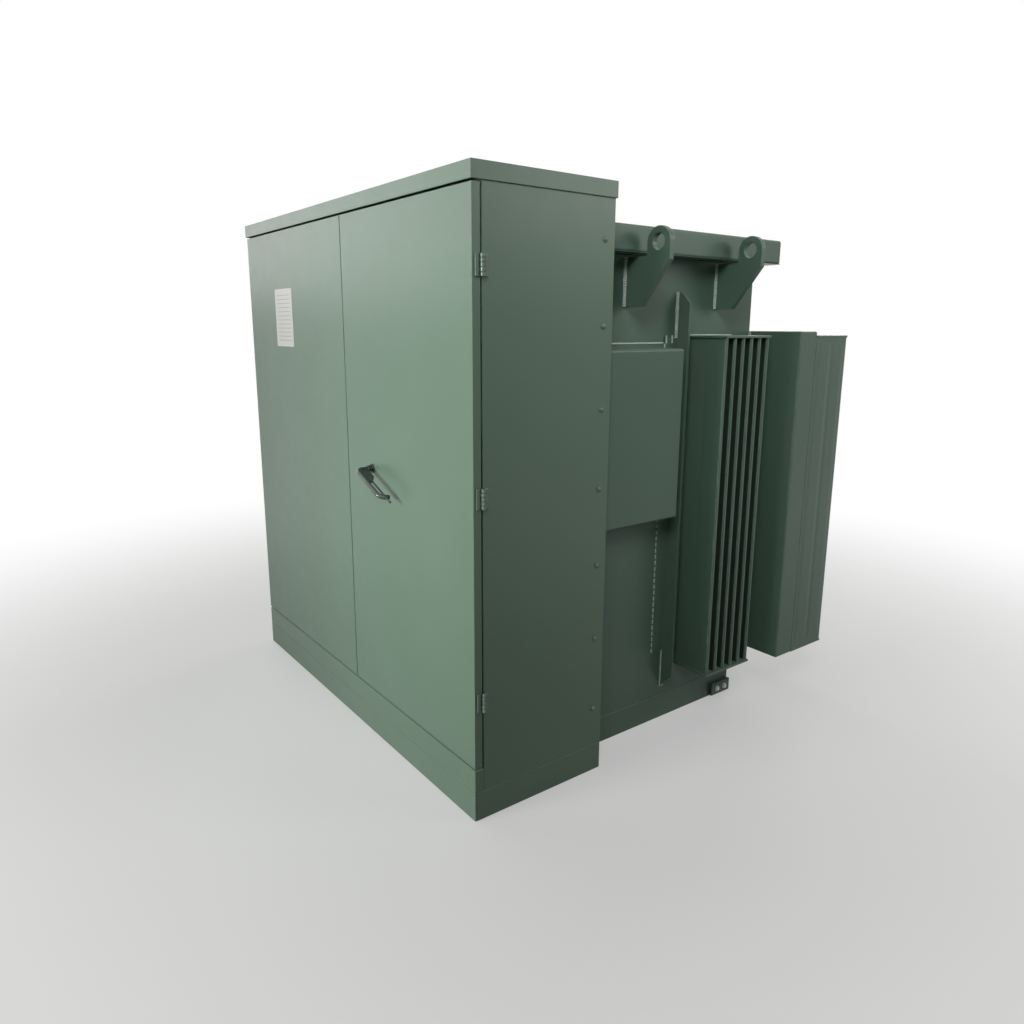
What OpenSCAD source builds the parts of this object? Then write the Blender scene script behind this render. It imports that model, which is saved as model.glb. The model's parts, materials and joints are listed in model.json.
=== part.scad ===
// Pad-mounted three-phase power transformer: a tall door cabinet in front of a
// welded oil tank, with finned coolers on both sides and along the back.
// Millimetres, Z up, doors facing -Y, origin on the ground under the middle of the box.

/* [Cabinet] */
// Width across the side panels
cab_w = 1736; // [1400:1:2200]
// Depth from the door face to the back plate
cab_d = 513; // [420:1:700]
// Height from the ground to the roof
cab_h = 1900; // [1600:1:2300]
// Thickness of the cabinet sheet
cab_sheet = 3; // [2:0.5:5]
// Height of the folded roof edge
roof_lip = 48; // [30:1:80]
// How far the roof stands out past the walls
roof_over = 5; // [3:0.5:20]
// Height of the skirt that stands on the ground
skirt_h = 95; // [60:1:140]
// Thickness of the skirt plate
skirt_plate = 5; // [3:0.5:8]
// Width of the ledge folded inwards at the top of the skirt
skirt_ledge = 45; // [35:1:70]
// Height of the fixed sill below the doors
sill_h = 76; // [40:1:120]
// Width of the folded door jamb on each side panel
jamb_w = 30; // [20:1:45]
// Height of the rail above the doors
header_h = 90; // [70:1:140]
// Thickness of the plate between the two compartments
barrier_t = 3; // [2:0.5:6]

/* [Doors] */
// Depth of the folded door edge
door_d = 27; // [20:1:40]
// Thickness of the door sheet
door_sheet = 3; // [2:0.5:5]
// Gap round each door
door_gap = 5; // [5:0.5:8]
// Width of the right door
right_door_w = 797; // [600:1:900]
// Width of the stiffening channel inside a door
rib_w = 80; // [40:1:120]
// Depth of the stiffening channel inside a door
rib_d = 16; // [10:0.5:18]

/* [Hinges] */
// Radius of the hinge pin
pin_r = 4; // [3:0.5:5]
// Running clearance round the pin and the handle shaft
run_clear = 0.05; // [0.02:0.01:0.1]
// Outer radius of the hinge knuckle
knuckle_r = 7; // [6:0.5:9]
// Height of a hinge
hinge_h = 60; // [50:1:90]
// Width of a hinge leaf
leaf_w = 21.5; // [18:0.5:28]
// Thickness of a hinge leaf
leaf_t = 4.5; // [2:0.5:6]
// Distance of the hinge axis from the cabinet side
axis_out = 8.5; // [8:0.5:10]
// Distance of the lowest hinge above the lower edge of the door
hinge_up = 214; // [120:1:320]
// Distance of the highest hinge below the upper edge of the door
hinge_drop = 207; // [120:1:320]
// Height of the middle hinge
hinge_mid_z = 1008; // [800:1:1200]

/* [Handle] */
// Distance of the handle shaft from the right side of the cabinet
handle_from_side = 615; // [400:1:700]
// Height of the handle shaft
handle_z = 1008; // [850:1:1150]
// Radius of the round handle bar
bar_r = 8; // [7:0.5:12]
// How far the handle bar stands out from the door
bar_out = 58; // [52:1:100]
// Length of the handle from shaft to tip
bar_l = 180; // [140:1:220]
// Bend radius of the handle bar
bar_bend = 22; // [18:1:32]
// Radius of the thin lock rod behind the handle bar
rod_r = 3.5; // [3:0.5:5]
// Angle of the resting handle below the horizontal
bar_angle = 22; // [10:1:60]

/* [Tank] */
// How far each tank side wall lies inside the cabinet side
tank_in = 115; // [60:1:160]
// Depth of the tank behind the back plate
tank_d = 832; // [800:1:1100]
// Thickness of the tank wall plate
wall_t = 6; // [4:0.5:10]
// Thickness of the plate between tank and cabinet
plate_t = 10; // [6:0.5:14]
// How far the tank cover lies below the cabinet roof
cover_drop = 105; // [60:1:160]
// Height of the base rails
base_h = 100; // [80:1:140]
// Width of the base rail flanges
base_flange = 60; // [40:1:90]
// Thickness of the base rails
base_t = 8; // [6:0.5:12]
// Height of the folded cover edge
cover_h = 84; // [50:1:100]
// How far the cover stands out past the tank walls
cover_over = 67; // [50:1:80]
// Thickness of the cover plate
cover_t = 6; // [4:0.5:10]
// Thickness of the top plate under the cover
flange_t = 10; // [8:0.5:16]

/* [Lifting lugs] */
// Thickness of a lug plate
lug_t = 20; // [12:1:30]
// Radius of the lifting eye
eye_r = 25; // [15:0.5:30]
// Radius of the round ear
ear_r = 47; // [40:1:55]
// Distance of the lifting eye from the tank wall
eye_out = 139; // [125:1:160]
// Height of the lifting eye above the top of the tank wall
eye_up = 29; // [20:1:60]
// Length of the weld that holds a lug to the wall
lug_weld = 155; // [110:1:200]
// Length of the lower edge of the lug
lug_foot = 75; // [50:1:90]
// Distance of the front lugs behind the cabinet
front_lug_in = 172; // [120:1:220]
// Distance of the rear lugs in front of the tank's rear wall
rear_lug_in = 205; // [150:1:240]

/* [Side fittings] */
// Distance of the tank stiffener in front of the first side fin
stiff_gap = 63; // [45:1:110]
// How far the stiffener stands out from the wall
stiff_out = 56; // [50:1:100]
// Thickness of the stiffener web
stiff_t = 10; // [6:0.5:16]
// Height of the lower end of the stiffener
stiff_low_z = 134; // [120:1:200]
// Distance of the upper end of the stiffener below the top of the wall
stiff_drop = 111; // [60:1:200]
// Width of the doubler strip beside the stiffener
strip_w = 55; // [30:1:70]
// Gap between the cabinet and the accessory box
box_start = 17; // [5:1:40]
// Gap between the accessory box and the doubler strip
box_gap = 8; // [5:1:60]
// How far the accessory box stands out from the tank
box_out = 95; // [60:1:140]
// Height of the lower edge of the accessory box
box_low_z = 828; // [700:1:900]
// Distance of the accessory box's upper edge below the top of the tank wall
box_drop = 299; // [200:1:400]
// Rounding of the long edges of the accessory box
box_round = 9; // [5:1:40]

/* [Coolers] */
// Distance between neighbouring fins
fin_pitch = 45; // [40:1:60]
// Thickness of a pressed fin at its channels
fin_t = 12; // [8:0.5:16]
// Thickness of a fin at its welded seams
seam_t = 5; // [3:0.5:6]
// Width of the welded seam round a fin
seam_w = 12; // [8:0.5:20]
// Height of the lower end of all coolers
fin_low_z = 218; // [180:1:280]
// Distance of the upper end of the side coolers below the top of the tank wall
cooler_drop = 257; // [150:1:350]
// Thickness of the bars that close the fins above and below
cap_t = 8; // [5:0.5:12]
// Number of fins on each side cooler
side_fins = 6; // [4:1:6]
// Width of the side fins, out from the tank wall
side_fin_w = 170; // [120:1:200]
// Distance of the last side fin in front of the tank's rear wall
side_fin_in = 120; // [80:1:160]
// Depth of the oil box behind the tank
oil_box_d = 100; // [60:1:140]
// How far the oil box stands out past the tank walls
oil_box_over = 223; // [150:1:260]
// How far the oil box rises above the fins
oil_box_up = 15; // [8:1:40]
// Thickness of the oil box sheet
oil_box_t = 5; // [3:0.5:8]
// Width of the rear fins, back from the oil box
rear_fin_w = 197; // [120:1:260]

/* [Ground pads] */
// Length of a ground pad
pad_l = 110; // [80:1:130]
// Height of a ground pad
pad_h = 50; // [40:1:60]
// Thickness of a ground pad
pad_t = 14; // [10:0.5:20]
// Radius of the two bolt holes in a ground pad
pad_hole_r = 7; // [5:0.5:9]
// Distance between the bolt holes in a ground pad
pad_pitch = 44.5; // [36:0.5:60]

/* [Terminals] */
// Height of the high-voltage bushings
hv_z = 1000; // [850:1:1150]
// Distance between the high-voltage bushings
hv_pitch = 230; // [180:1:260]
// Length of the high-voltage insulator
hv_l = 150; // [110:1:180]
// Radius of the high-voltage insulator at its flange
hv_r = 42; // [30:1:55]
// Radius of the high-voltage stud
hv_stud_r = 8; // [6:0.5:10]
// Length of the high-voltage stud
hv_stud_l = 34; // [25:1:45]
// Height of the low-voltage bushings
lv_z = 1120; // [950:1:1250]
// Distance between the low-voltage bushings
lv_pitch = 165; // [140:1:180]
// Radius of the low-voltage insulator
lv_r = 38; // [30:1:50]
// Length of the low-voltage insulator
lv_l = 60; // [40:1:90]
// Thickness of a low-voltage spade
spade_t = 12; // [8:0.5:16]
// Length and height of a low-voltage spade
spade_l = 110; // [90:1:130]
// Distance between the bolt holes of a spade
spade_pitch = 44.5; // [36:0.5:50]
// Radius of the bolt holes of a spade
spade_hole_r = 7; // [5:0.5:8]

/* [Hidden] */
$fn = 48;

// Overrun of every cut
cut = 1;
// Paint colours
green = "#6f877a";
dark_green = "#4a6055";
steel = "#a9aeb0";
porcelain = "#7a5a48";

// Cabinet
half_w = cab_w / 2;
inner_w = half_w - cab_sheet;
jamb_y = door_d + door_gap;
sill_top = skirt_h + sill_h;
roof_under = cab_h - cab_sheet;
lip_low = cab_h - roof_lip;
plate_y = cab_d - plate_t;
mount_flange_w = 60;
header_ledge = 40;
barrier_gap = 20;
barrier_y = jamb_y + barrier_gap;
mount_flange_t = 6;

// Doors
door_low = sill_top + door_gap;
door_h = lip_low - door_gap - door_low;
seam_x = half_w - right_door_w - door_gap / 2;
left_door_w = cab_w - right_door_w - door_gap;
rib_inset = 70;

// Hinges
axis_y = door_d + door_gap / 2;
hinge_z = [door_low + hinge_up, hinge_mid_z, door_low + door_h - hinge_drop];
knuckles = 5;
knuckle_gap = 1;
knuckle_h = (hinge_h - (knuckles - 1) * knuckle_gap) / knuckles;
leaf_gap = 1.5;
leaf_start = knuckle_r + leaf_gap;

// Handle
handle_x = half_w - handle_from_side;
boss_r = 16;
boss_t = 6;
collars = 2;
collar_r = 12;
collar_l = 5;
collar_pitch = 8;
collar_gap = 1;
tip_bend = 28;
bar_tip_gap = 27;
cam_t = 6;
cam_w = 28;
cam_l = 64;
cam_gap = 5.5;
web_t = 6;
web_l = 84;
web_foot = 55;
web_near = 20;
rod_y = -38;
rod_start = 60;
rod_past = 30;
handle_reach = bar_out + bar_r;

// Tank
tank_half = half_w - tank_in;
tank_rear = cab_d + tank_d;
floor_t = plate_t;
cover_top = cab_h - cover_drop;
wall_top_z = cover_top - cover_h;
cover_half = tank_half + cover_over;
cover_rear = tank_rear + cover_over;
lug_top_z = wall_top_z - flange_t;
lug_low_z = lug_top_z - lug_weld;
eye_z = wall_top_z + eye_up;
ear_drop = 55;
lug_y = [cab_d + front_lug_in, tank_rear - rear_lug_in];

// Coolers
channels = 2;
channel_gap = 10;
channel_end = 22;
channel_nip = 12;
cap_over = 5;
side_span = (side_fins - 1) * fin_pitch;
side_fin_y = tank_rear - side_fin_in - side_span;
fin_z = fin_low_z + cap_t;
fin_top_z = wall_top_z - cooler_drop - cap_t;
fin_h = fin_top_z - fin_z;
oil_box_half = tank_half + oil_box_over;
oil_box_rear = tank_rear + oil_box_d;
oil_box_top = wall_top_z - cooler_drop + oil_box_up;
rear_span = 2 * oil_box_half - fin_t;
rear_gaps = floor(rear_span / fin_pitch);
rear_pitch = rear_span / rear_gaps;
rear_end = oil_box_rear + rear_fin_w + cap_over;

// Stiffener and accessory box
stiff_y = side_fin_y - stiff_gap;
stiff_top_z = wall_top_z - stiff_drop;
stiff_chamfer = 38;
strip_t = 6;
strip_up = 151;
strip_drop = 155;
strip_y = stiff_y - stiff_t / 2 - strip_w;
box_y = cab_d + box_start;
box_l = strip_y - box_gap - box_y;
box_h = wall_top_z - box_drop - box_low_z;

// Ground pads
pad_up = 5;
pad_z = pad_h / 2 + pad_up;
pad_y = tank_rear - pad_l / 2;

// Terminals
hv_x = (seam_x - half_w) / 2;
flange_rim = 17;
hv_flange_r = hv_r + flange_rim;
hv_flange_t = 14;
hv_tip_r = 22;
lv_x = (seam_x + half_w) / 2;
lv_flange_r = lv_r + flange_rim;
lv_flange_t = 12;
lv_count = 4;
lv_stem_r = 16;

// The whole part is centred front to back between the handle and the rear fins
front_y = (handle_reach - rear_end) / 2;

// Moves a sub-part from the door face frame to the part's own frame
module placed() {
    translate([0, front_y, 0]) children();
}

module mirrored() {
    mirror([1, 0, 0]) children();
}

// Box given by its lowest and highest corner
module block(low, high) {
    translate(low) cube(high - low);
}

// Thin sheet tray, open towards +Y
module tray(low, high, sheet) {
    difference() {
        block(low, high);
        block(low + [sheet, sheet, sheet], high + [-sheet, cut, -sheet]);
    }
}

module skirt_front() {
    color(green) placed() {
        block([-half_w, 0, 0], [half_w, skirt_plate, skirt_h]);
        block([skirt_ledge - half_w, 0, skirt_h - skirt_plate],
              [half_w - skirt_ledge, skirt_ledge, skirt_h]);
    }
}

module side_skirt() {
    block([half_w - skirt_plate, skirt_plate, 0], [half_w, cab_d, skirt_h]);
    block([half_w - skirt_ledge, skirt_plate, skirt_h - skirt_plate],
          [half_w, cab_d - base_flange, skirt_h]);
}

module side_skirts() {
    color(green) placed() {
        side_skirt();
        mirrored() side_skirt();
    }
}

module sill() {
    color(green) placed()
        tray([-half_w, 0, skirt_h], [half_w, jamb_y, sill_top], cab_sheet);
}

module side_panel() {
    block([inner_w, jamb_y, skirt_h], [half_w, cab_d, roof_under]);
    block([half_w - jamb_w, jamb_y, skirt_h], [half_w, jamb_y + cab_sheet, roof_under]);
}

module right_side_panel() {
    color(dark_green) placed() side_panel();
}

module left_side_panel() {
    color(dark_green) placed() mirrored() side_panel();
}

module door_header() {
    rail_half = half_w - jamb_w;
    rail_low = roof_under - header_h;
    color(green) placed() {
        block([-rail_half, jamb_y, rail_low], [rail_half, jamb_y + cab_sheet, roof_under]);
        block([-rail_half, jamb_y, rail_low], [rail_half, jamb_y + header_ledge, rail_low + cab_sheet]);
    }
}

module roof_cap() {
    cap_half = half_w + roof_over;
    color(green) placed() difference() {
        block([-cap_half, -roof_over, lip_low], [cap_half, cab_d + roof_over, cab_h]);
        block([cab_sheet - cap_half, cab_sheet - roof_over, lip_low - cut],
              [cap_half - cab_sheet, cab_d + roof_over - cab_sheet, roof_under]);
    }
}

module mount_flange() {
    block([inner_w - mount_flange_t, plate_y - mount_flange_w, base_h],
          [inner_w, plate_y, lip_low]);
}

module mount_flanges() {
    color(dark_green) placed() {
        mount_flange();
        mirrored() mount_flange();
    }
}

module back_plate() {
    color(dark_green) placed()
        block([-inner_w, plate_y, base_h], [inner_w, cab_d, roof_under]);
}

module barrier() {
    color(green) placed()
        block([seam_x - barrier_t / 2, barrier_y, base_h],
              [seam_x + barrier_t / 2, plate_y, roof_under - header_h]);
}

// Channel section with its web on the outer side
module rail_section() {
    difference() {
        translate([-base_flange, 0]) square([base_flange, base_h]);
        translate([-base_flange - cut, base_t])
            square([base_flange - base_t + cut, base_h - 2 * base_t]);
    }
}

module pad_holes() {
    for (side = [-1, 1])
        translate([tank_half - base_t - cut, pad_y + side * pad_pitch / 2, pad_z])
            rotate([0, 90, 0]) cylinder(h = base_t + pad_t + 2 * cut, r = pad_hole_r);
}

module base_side_rail() {
    difference() {
        translate([tank_half, tank_rear, 0]) rotate([90, 0, 0]) linear_extrude(tank_d) rail_section();
        pad_holes();
    }
}

module base_side_rails() {
    color(dark_green) placed() {
        base_side_rail();
        mirrored() base_side_rail();
    }
}

module cross_rail(half_l) {
    translate([-half_l, 0, 0]) rotate([90, 0, 90]) linear_extrude(2 * half_l) rail_section();
}

module base_cross_rails() {
    color(dark_green) placed() {
        translate([0, cab_d, 0]) cross_rail(half_w - skirt_plate);
        translate([0, tank_rear, 0]) cross_rail(tank_half - base_flange);
    }
}

module tank_floor() {
    color(dark_green) placed()
        block([wall_t - tank_half, cab_d, base_h],
              [tank_half - wall_t, tank_rear - wall_t, base_h + floor_t]);
}

module tank_side_wall() {
    block([tank_half - wall_t, cab_d, base_h], [tank_half, tank_rear, wall_top_z]);
}

module tank_right_wall() {
    color(dark_green) placed() tank_side_wall();
}

module tank_left_wall() {
    color(dark_green) placed() mirrored() tank_side_wall();
}

module tank_rear_wall() {
    color(dark_green) placed()
        block([wall_t - tank_half, tank_rear - wall_t, base_h], [tank_half - wall_t, tank_rear, wall_top_z]);
}

module tank_top() {
    color(dark_green) placed()
        block([cover_t - cover_half, cab_d, wall_top_z],
              [cover_half - cover_t, cover_rear - cover_t, wall_top_z + flange_t]);
}

module tank_cover() {
    color(dark_green) placed() difference() {
        block([-cover_half, cab_d, wall_top_z], [cover_half, cover_rear, cover_top]);
        block([cover_t - cover_half, cab_d - cut, wall_top_z - cut],
              [cover_half - cover_t, cover_rear - cover_t, cover_top - cover_t]);
    }
}

// Side view of a lug: a raked plate with a round ear
module lug_outline() {
    difference() {
        union() {
            polygon([
                [0, lug_low_z], [lug_foot, lug_low_z],
                [eye_out + ear_r, eye_z - ear_drop], [eye_out + ear_r, eye_z],
                [eye_out - ear_r, eye_z], [eye_out - ear_r, lug_top_z], [0, lug_top_z]
            ]);
            translate([eye_out, eye_z]) circle(ear_r);
        }
        translate([eye_out, eye_z]) circle(eye_r);
    }
}

module side_lugs() {
    for (y = lug_y)
        translate([tank_half, y, 0]) rotate([90, 0, 0])
            linear_extrude(lug_t, center = true) lug_outline();
}

module right_lifting_lugs() {
    color(dark_green) placed() side_lugs();
}

module left_lifting_lugs() {
    color(dark_green) placed() mirrored() side_lugs();
}

module side_stiffener() {
    translate([tank_half, stiff_y, 0]) {
        rotate([90, 0, 0]) linear_extrude(stiff_t, center = true) polygon([
            [0, stiff_low_z], [stiff_out, stiff_low_z + stiff_out],
            [stiff_out, stiff_top_z - stiff_chamfer], [stiff_out - stiff_chamfer, stiff_top_z],
            [0, stiff_top_z]
        ]);
        block([0, strip_y - stiff_y, stiff_low_z + strip_up], [strip_t, 0, stiff_top_z - strip_drop]);
    }
}

module right_stiffener() {
    color(dark_green) placed() side_stiffener();
}

module left_stiffener() {
    color(dark_green) placed() mirrored() side_stiffener();
}

// End view of the accessory box: square at the wall, rounded on the outside
module box_outline() {
    square([box_out - box_round, box_h]);
    translate([0, box_round]) square([box_out, box_h - 2 * box_round]);
    for (z = [box_round, box_h - box_round])
        translate([box_out - box_round, z]) circle(box_round);
}

module accessory_box() {
    color(green) placed()
        translate([tank_half, box_y + box_l, box_low_z]) rotate([90, 0, 0])
            linear_extrude(box_l) box_outline();
}

module ground_pad() {
    difference() {
        block([tank_half, pad_y - pad_l / 2, pad_z - pad_h / 2],
              [tank_half + pad_t, pad_y + pad_l / 2, pad_z + pad_h / 2]);
        pad_holes();
    }
}

module ground_pads() {
    color(dark_green) placed() {
        ground_pad();
        mirrored() ground_pad();
    }
}

// Side view of one upright oil channel, with its corners cut
module channel_outline(w, h) {
    side = w / 2;
    polygon([
        [channel_nip - side, 0], [side - channel_nip, 0], [side, channel_nip],
        [side, h - channel_nip], [side - channel_nip, h], [channel_nip - side, h],
        [-side, h - channel_nip], [-side, channel_nip]
    ]);
}

// Pressed steel fin: a flat welded seam all round and upright oil channels
module fin(w) {
    pitch = (w - 2 * seam_w) / channels;
    translate([0, -seam_t / 2, 0]) cube([w, seam_t, fin_h]);
    for (i = [0 : channels - 1])
        translate([seam_w + pitch * (i + 1 / 2), 0, channel_end]) rotate([90, 0, 0])
            linear_extrude(fin_t, center = true)
                channel_outline(pitch - channel_gap, fin_h - 2 * channel_end);
}

module side_fin_row() {
    for (i = [0 : side_fins - 1])
        translate([tank_half, side_fin_y + i * fin_pitch, fin_z]) fin(side_fin_w);
}

module side_caps() {
    edge = fin_t / 2 + cap_over;
    for (z = [fin_low_z, fin_top_z])
        block([tank_half, side_fin_y - edge, z],
              [tank_half + side_fin_w + cap_over, side_fin_y + side_span + edge, z + cap_t]);
}

module right_fins() {
    color(dark_green) placed() side_fin_row();
}

module left_fins() {
    color(dark_green) placed() mirrored() side_fin_row();
}

module right_fin_caps() {
    color(green) placed() side_caps();
}

module left_fin_caps() {
    color(green) placed() mirrored() side_caps();
}

module oil_box() {
    wall = [oil_box_t, oil_box_t, oil_box_t];
    low = [-oil_box_half, tank_rear, fin_low_z];
    high = [oil_box_half, oil_box_rear, oil_box_top];
    color(dark_green) placed() difference() {
        block(low, high);
        block(low + wall, high - wall);
    }
}

module rear_fins() {
    color(dark_green) placed()
        for (i = [0 : rear_gaps])
            translate([i * rear_pitch - rear_span / 2, oil_box_rear, fin_z])
                rotate([0, 0, 90]) fin(rear_fin_w);
}

module rear_fin_caps() {
    color(green) placed()
        for (z = [fin_low_z, fin_top_z])
            block([-oil_box_half, oil_box_rear, z], [oil_box_half, rear_end, z + cap_t]);
}

module hv_places() {
    for (i = [-1, 0, 1])
        translate([hv_x + i * hv_pitch, plate_y, hv_z]) rotate([90, 0, 0]) children();
}

module hv_bushings() {
    color(porcelain) placed() hv_places() {
        cylinder(h = hv_flange_t, r = hv_flange_r);
        translate([0, 0, hv_flange_t]) cylinder(h = hv_l, r1 = hv_r, r2 = hv_tip_r);
    }
}

module hv_studs() {
    color(steel) placed() hv_places()
        translate([0, 0, hv_flange_t + hv_l]) cylinder(h = hv_stud_l, r = hv_stud_r);
}

module lv_places() {
    for (i = [0 : lv_count - 1])
        translate([lv_x + (i - (lv_count - 1) / 2) * lv_pitch, plate_y, lv_z])
            rotate([90, 0, 0]) children();
}

module lv_bushings() {
    color(porcelain) placed() lv_places() {
        cylinder(h = lv_flange_t, r = lv_flange_r);
        translate([0, 0, lv_flange_t]) cylinder(h = lv_l, r = lv_r);
    }
}

// Flat terminal blade with four bolt holes, seen from the front of its bushing
module spade() {
    difference() {
        union() {
            cylinder(h = 2 * lv_stem_r, r = lv_stem_r);
            block([-spade_t / 2, -spade_l / 2, lv_stem_r], [spade_t / 2, spade_l / 2, lv_stem_r + spade_l]);
        }
        for (a = [-1, 1], b = [-1, 1])
            translate([-spade_t, a * spade_pitch / 2, lv_stem_r + spade_l / 2 + b * spade_pitch / 2])
                rotate([0, 90, 0]) cylinder(h = 2 * spade_t, r = spade_hole_r);
    }
}

module lv_spades() {
    color(steel) placed() lv_places()
        translate([0, 0, lv_flange_t + lv_l]) spade();
}

// Right-hand hinges at every height, each drawn about its own axis
module hinge_places() {
    for (z = hinge_z)
        translate([half_w + axis_out, axis_y, z]) children();
}

// Every second knuckle of a hinge, with the tongue that joins it to a leaf ending at tongue_y
module knuckle_row(first, tongue_y) {
    for (i = [first : 2 : knuckles - 1])
        translate([0, 0, i * (knuckle_h + knuckle_gap) - hinge_h / 2]) {
            cylinder(h = knuckle_h, r = knuckle_r);
            block([-axis_out, min(0, tongue_y), 0], [leaf_t - axis_out, max(0, tongue_y), knuckle_h]);
        }
}

module fixed_hinge() {
    cylinder(h = hinge_h, r = pin_r, center = true);
    block([-axis_out, leaf_start, -hinge_h / 2], [leaf_t - axis_out, leaf_w, hinge_h / 2]);
    knuckle_row(0, leaf_start + cut);
}

module door_leaf() {
    difference() {
        union() {
            block([-axis_out, -leaf_w, -hinge_h / 2], [leaf_t - axis_out, -leaf_start, hinge_h / 2]);
            knuckle_row(1, -leaf_start - cut);
        }
        cylinder(h = hinge_h + 2 * cut, r = pin_r + run_clear, center = true);
    }
}

module right_hinges() {
    color(green) placed() hinge_places() fixed_hinge();
}

module left_hinges() {
    color(green) placed() mirrored() hinge_places() fixed_hinge();
}

module right_door_leaves() {
    color(green) placed() hinge_places() door_leaf();
}

module left_door_leaves() {
    color(green) placed() mirrored() hinge_places() door_leaf();
}

// Upright top-hat channel that stiffens the inside of a door
module door_rib(x) {
    low = door_low + rib_inset;
    high = door_low + door_h - rib_inset;
    difference() {
        block([x - rib_w / 2, door_sheet, low], [x + rib_w / 2, door_sheet + rib_d, high]);
        block([x - rib_w / 2 + cab_sheet, 0, low - cut],
              [x + rib_w / 2 - cab_sheet, door_sheet + rib_d - cab_sheet, high + cut]);
    }
}

module left_door() {
    color(green) placed() {
        tray([-half_w, 0, door_low], [left_door_w - half_w, door_d, door_low + door_h], door_sheet);
        door_rib(left_door_w / 2 - half_w);
    }
}

module shaft_hole(l) {
    translate([handle_x, 0, handle_z]) rotate([90, 0, 0])
        cylinder(h = l, r = bar_r + run_clear, center = true);
}

module right_door() {
    color(green) placed() difference() {
        union() {
            tray([half_w - right_door_w, 0, door_low], [half_w, door_d, door_low + door_h], door_sheet);
            door_rib(half_w - right_door_w / 2);
        }
        shaft_hole(door_d);
    }
}

module handle_plate() {
    color(dark_green) placed() difference() {
        translate([handle_x, 0, handle_z]) rotate([90, 0, 0]) cylinder(h = boss_t, r = boss_r);
        shaft_hole(4 * boss_t);
    }
}

// Frame of the handle: X along the bar, Y through the door
module handle_frame() {
    translate([handle_x, 0, handle_z]) rotate([0, bar_angle, 0]) children();
}

// Round bar through the door, at a distance along the handle
module bar_y(x, low, high) {
    translate([x, high, 0]) rotate([90, 0, 0]) cylinder(h = high - low, r = bar_r);
}

module bar_corner(x, bend, turn) {
    translate([x, bend - bar_out, 0]) rotate([0, 0, turn])
        rotate_extrude(angle = 90) translate([bend, 0]) circle(bar_r);
}

// Flat web that ties the bar to its shaft and holds the end of the lock rod
module handle_web() {
    linear_extrude(web_t, center = true) polygon([
        [0, -bar_out], [web_l, -bar_out], [web_l, rod_y], [web_foot, -web_near], [0, -web_near]
    ]);
}

module rod_solid() {
    translate([rod_start, rod_y, 0]) rotate([0, 90, 0])
        cylinder(h = bar_l + rod_past - rod_start, r = rod_r);
}

module handle() {
    shaft_end = door_sheet + cam_gap;
    color(steel) placed() handle_frame() difference() {
        union() {
            bar_y(0, bar_bend - bar_out, shaft_end);
            bar_y(bar_l, tip_bend - bar_out, -bar_tip_gap);
            bar_corner(bar_bend, bar_bend, 180);
            bar_corner(bar_l - tip_bend, tip_bend, 270);
            translate([bar_bend, -bar_out, 0]) rotate([0, 90, 0])
                cylinder(h = bar_l - bar_bend - tip_bend, r = bar_r);
            for (i = [0 : collars - 1])
                translate([0, -boss_t - i * collar_pitch - collar_gap, 0]) rotate([90, 0, 0])
                    cylinder(h = collar_l, r = collar_r);
            handle_web();
        }
        rod_solid();
    }
}

module lock_rod() {
    color(steel) placed() handle_frame() rod_solid();
}

module latch_cam() {
    color(steel) placed() handle_frame()
        block([-cam_w / 2, door_sheet + cam_gap, -cam_w / 2],
              [cam_l, door_sheet + cam_gap + cam_t, cam_w / 2]);
}

skirt_front();
side_skirts();
sill();
left_side_panel();
right_side_panel();
door_header();
roof_cap();
mount_flanges();
back_plate();
barrier();
base_side_rails();
base_cross_rails();
tank_floor();
tank_left_wall();
tank_right_wall();
tank_rear_wall();
tank_top();
tank_cover();
left_lifting_lugs();
right_lifting_lugs();
left_stiffener();
right_stiffener();
accessory_box();
ground_pads();
left_fins();
left_fin_caps();
right_fins();
right_fin_caps();
oil_box();
rear_fins();
rear_fin_caps();
hv_bushings();
hv_studs();
lv_bushings();
lv_spades();
left_hinges();
right_hinges();
left_door();
left_door_leaves();
right_door();
right_door_leaves();
handle_plate();
handle();
lock_rod();
latch_cam();
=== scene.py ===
import json
import math

import bmesh
import bpy
from mathutils import Matrix, Vector

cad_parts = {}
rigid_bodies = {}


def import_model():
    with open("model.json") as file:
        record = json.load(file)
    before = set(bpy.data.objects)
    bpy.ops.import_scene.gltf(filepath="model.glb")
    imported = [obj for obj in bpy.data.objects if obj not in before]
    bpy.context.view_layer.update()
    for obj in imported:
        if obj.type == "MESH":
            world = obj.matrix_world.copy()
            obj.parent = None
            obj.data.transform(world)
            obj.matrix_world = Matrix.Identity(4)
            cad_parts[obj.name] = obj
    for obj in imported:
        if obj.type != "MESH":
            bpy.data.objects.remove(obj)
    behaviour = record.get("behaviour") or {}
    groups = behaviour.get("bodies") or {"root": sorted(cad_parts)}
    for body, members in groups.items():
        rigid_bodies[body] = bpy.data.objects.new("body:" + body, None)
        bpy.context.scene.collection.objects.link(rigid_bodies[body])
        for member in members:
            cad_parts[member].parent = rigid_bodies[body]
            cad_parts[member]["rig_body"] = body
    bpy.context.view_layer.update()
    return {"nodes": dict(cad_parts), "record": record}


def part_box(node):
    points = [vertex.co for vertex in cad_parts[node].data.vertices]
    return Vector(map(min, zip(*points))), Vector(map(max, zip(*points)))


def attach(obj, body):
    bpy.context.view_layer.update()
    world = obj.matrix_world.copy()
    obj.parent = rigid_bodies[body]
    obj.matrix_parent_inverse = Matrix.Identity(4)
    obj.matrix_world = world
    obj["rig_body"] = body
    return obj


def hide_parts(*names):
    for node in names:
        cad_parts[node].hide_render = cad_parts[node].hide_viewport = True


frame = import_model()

bl_info = {
    "name": "Pad-mounted transformer",
    "version": (1, 0, 0),
    "blender": (4, 5, 0),
    "location": "3D View > Sidebar > Transformer",
    "description": "Dresses a pad-mounted power transformer with paint, welds, pressed fins and bolts",
    "category": "Object",
}

MM = 0.001

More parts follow.
